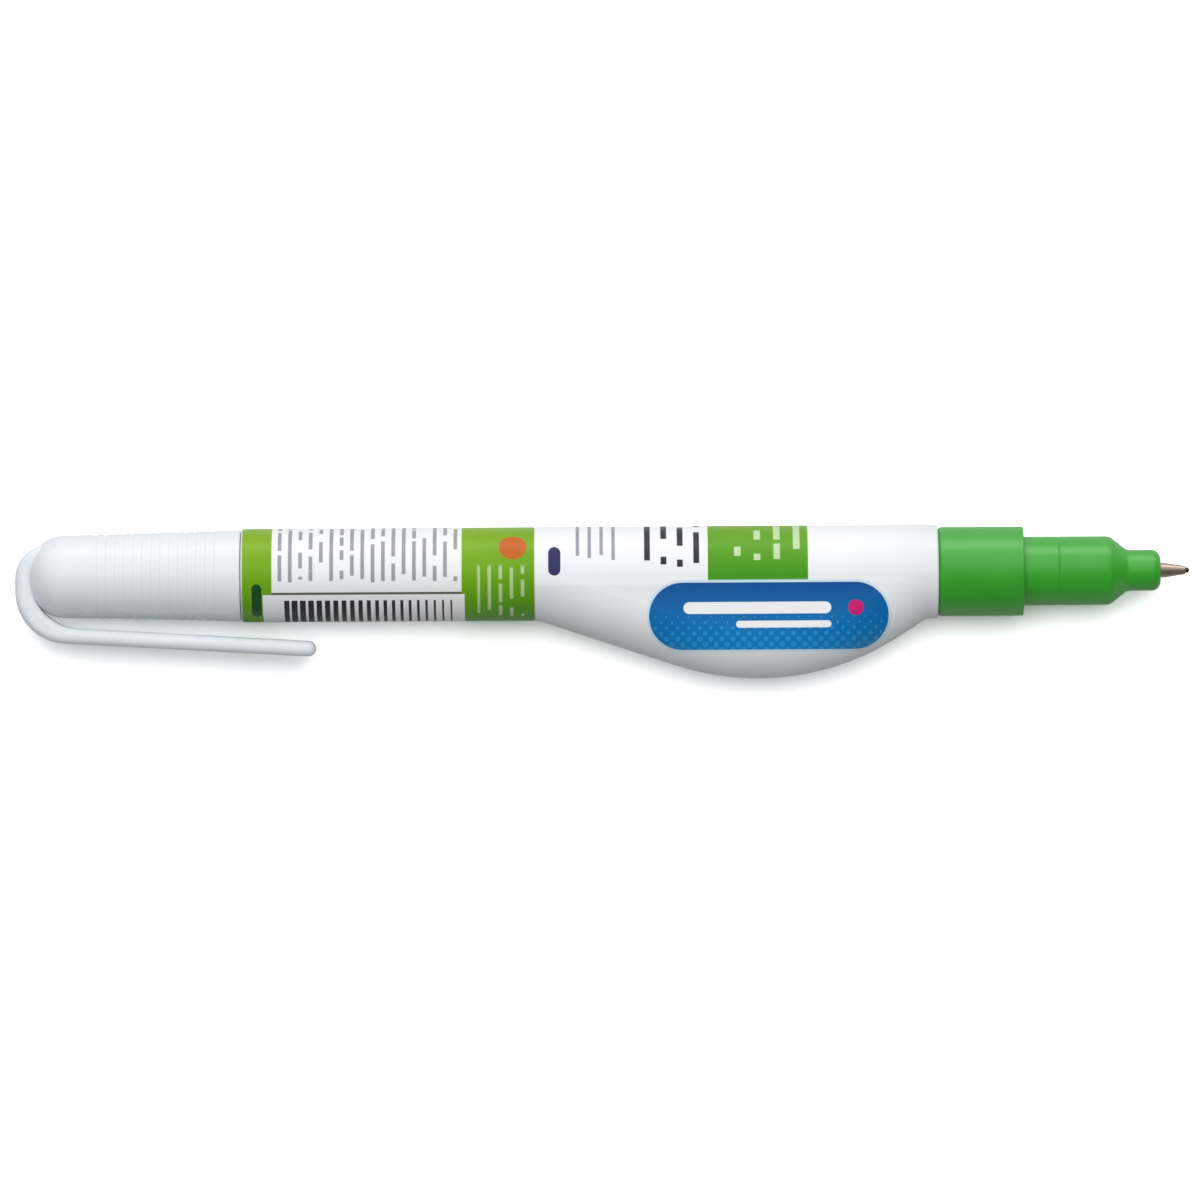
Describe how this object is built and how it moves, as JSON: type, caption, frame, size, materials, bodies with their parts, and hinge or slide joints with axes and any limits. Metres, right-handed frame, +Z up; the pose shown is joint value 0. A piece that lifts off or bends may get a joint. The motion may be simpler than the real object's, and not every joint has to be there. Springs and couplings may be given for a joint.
{
  "type": "correction pen",
  "caption": "Squeeze correction pen with a bellied white barrel, green collar and nozzle, spring-loaded metal needle tip and a white clip cap pushed on the tail.",
  "frame": {"origin": "on the pen's axis in the collar's front face, where the cap's mouth stops when it covers the tip", "axes": "+X along the pen's axis towards the writing tip, +Z up with the pen lying on its flank, -Y towards the belly and the clip"},
  "size_m": [0.1435, 0.0186, 0.0116],
  "materials": {
    "white_barrel": "satin",
    "printed_film": "gloss",
    "green_plastic": "gloss",
    "seal_rubber": "matte",
    "nickel_silver": "turned",
    "needle_steel": "polished",
    "spring_steel": "drawn wire",
    "natural_acetal": "matte",
    "ball_steel": "polished",
    "white_cap": "gloss",
    "liner_plastic": "matte"
  },
  "bodies": {
    "pen": {"barrel": "white_barrel", "label_sleeve": "printed_film", "front_collar": "green_plastic", "nozzle": "green_plastic", "neck_gasket": "seal_rubber", "writing_tip": "nickel_silver", "spring_retainer": "natural_acetal", "needle_spring": "spring_steel"},
    "cap": {"cap": "white_cap", "cap_liner": "liner_plastic"},
    "needle": {"valve_needle": "needle_steel", "needle_carrier": "natural_acetal"},
    "ball": {"mixing_ball": "ball_steel"}
  },
  "joints": [
    {"name": "cap_pull", "type": "slide", "parent": "pen", "child": "cap", "axis": [-1, 0, 0], "range_m": [0, 0.03]},
    {"name": "needle_press", "type": "slide", "parent": "pen", "child": "needle", "axis": [-1, 0, 0], "range_m": [0, 0.0004], "stiffness_N_per_m": 400, "springref_m": -0.001, "deforming": ["needle_spring"]},
    {"name": "ball_roll", "type": "slide", "parent": "pen", "child": "ball", "axis": [1, 0, 0], "range_m": [-0.048, 0.0309]}
  ]
}
